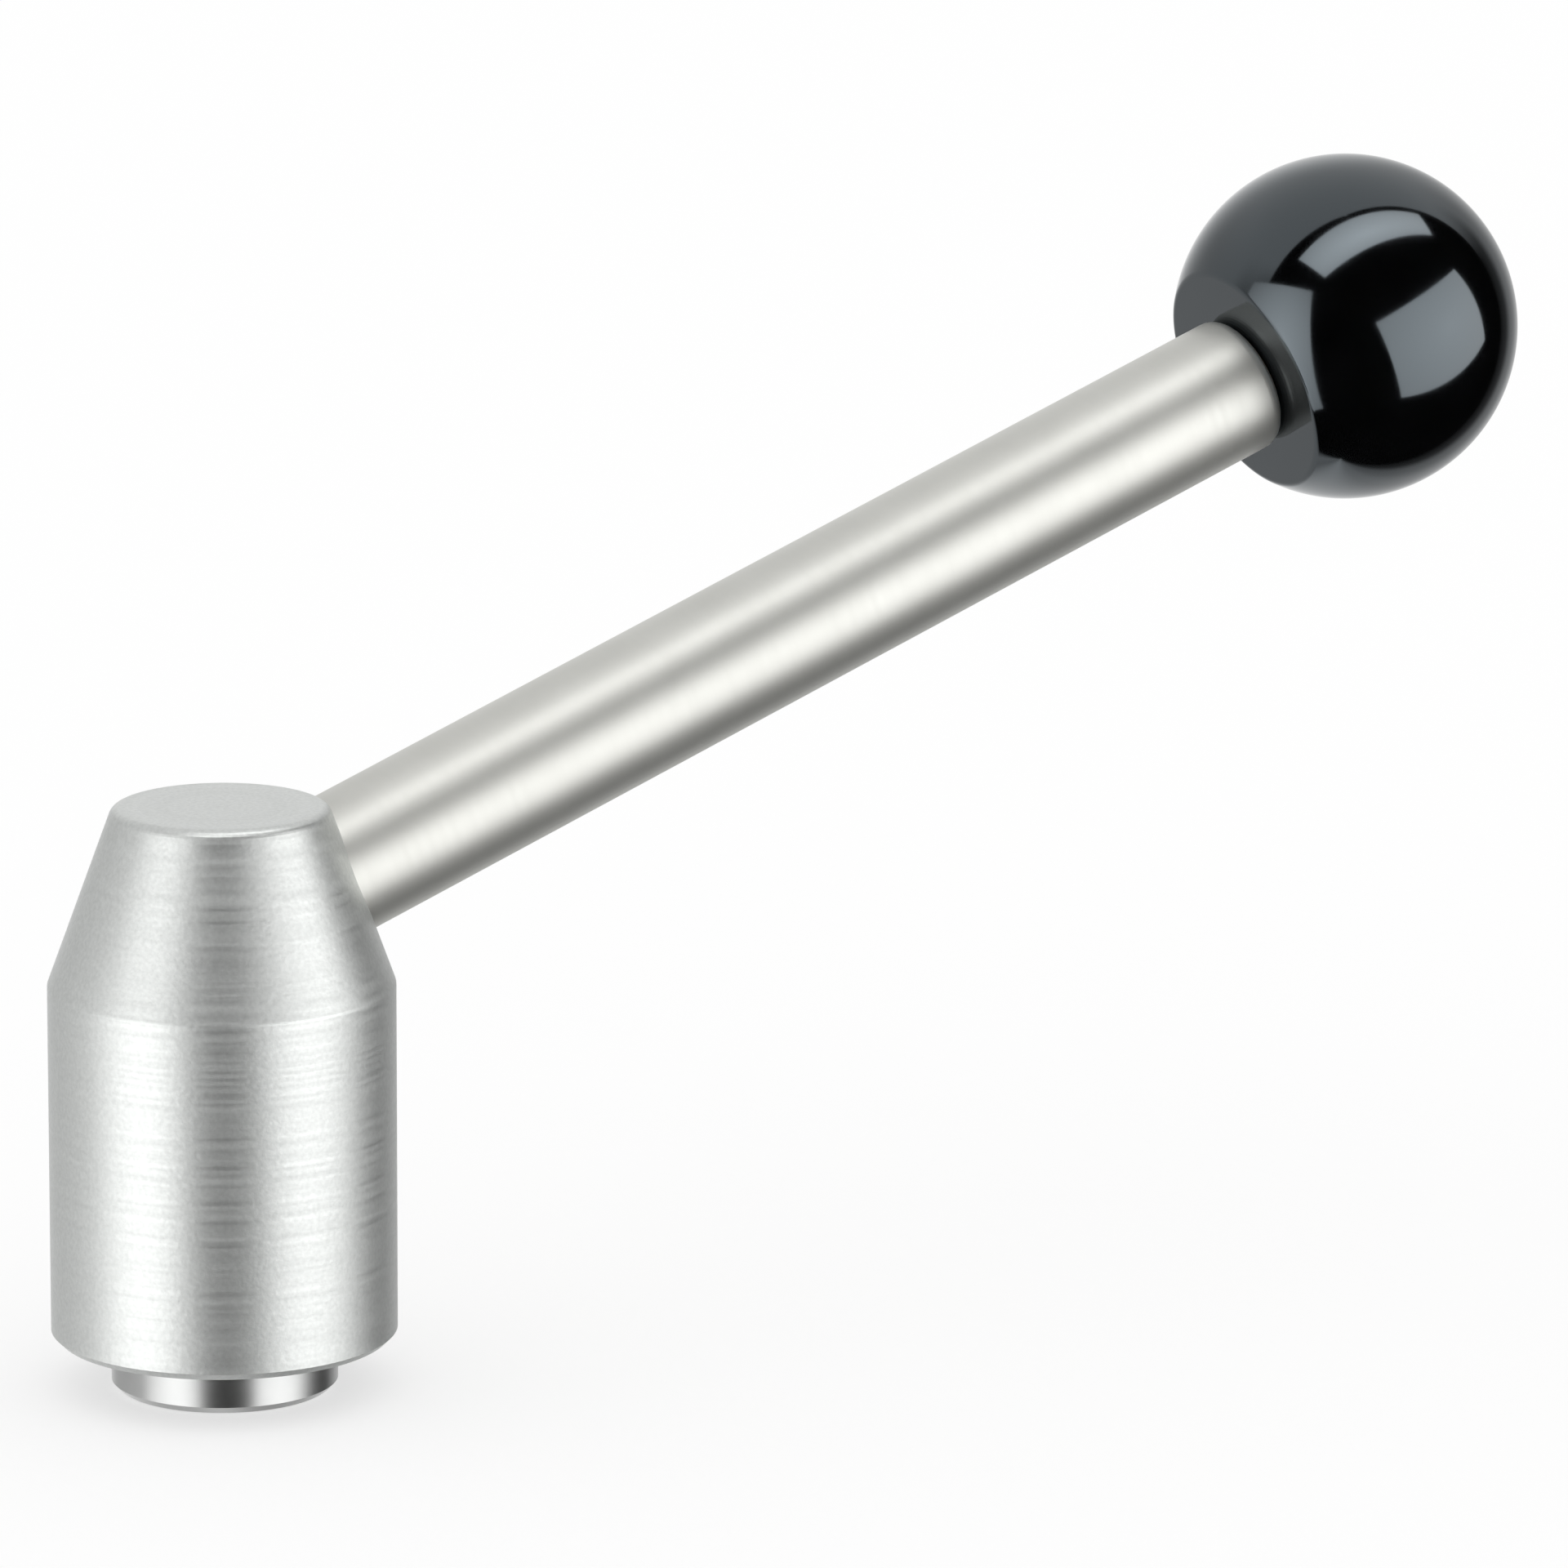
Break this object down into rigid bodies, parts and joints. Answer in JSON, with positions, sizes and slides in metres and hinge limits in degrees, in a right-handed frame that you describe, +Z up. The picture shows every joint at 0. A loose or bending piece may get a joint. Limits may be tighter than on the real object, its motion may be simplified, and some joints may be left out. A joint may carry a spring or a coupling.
{
  "type": "adjustable clamping lever",
  "caption": "Steel clamping lever with a conical hub, a sloping rod and a black ball knob, on a spring-loaded toothed insert with a female thread.",
  "frame": {"origin": "centre of the threaded insert's foot, the face that meets the clamped work", "axes": "+Z up the hub's axis, away from the work; the lever points along +X and rises with it"},
  "size_m": [0.1166, 0.025, 0.0785],
  "materials": {
    "hub_steel": "fine matt, bead blasted",
    "rod_steel": "fine ground",
    "black_thermoset": "high gloss, moulded",
    "bush_brass": "turned",
    "insert_steel": "bright turned",
    "spring_steel": "drawn wire, lightly oiled",
    "washer_steel": "blanked, bright",
    "ring_steel": "phosphated"
  },
  "bodies": {
    "insert": {"threaded_insert": "insert_steel", "compression_spring": "spring_steel"},
    "spring_seat": {"seat_washer": "washer_steel"},
    "lever": {"hub": "hub_steel", "lever_rod": "rod_steel", "ball_knob": "black_thermoset", "knob_bush": "bush_brass", "snap_ring": "ring_steel"}
  },
  "joints": [
    {"name": "lift", "type": "slide", "parent": "insert", "child": "spring_seat", "axis": [0, 0, 1], "range_m": [0, 0.004], "stiffness_N_per_m": 800, "springref_m": -0.0055, "deforming": ["compression_spring"]},
    {"name": "index_turn", "type": "hinge", "parent": "spring_seat", "child": "lever", "pos_m": [0, 0, 0], "axis": [0, 0, 1], "continuous": true}
  ]
}
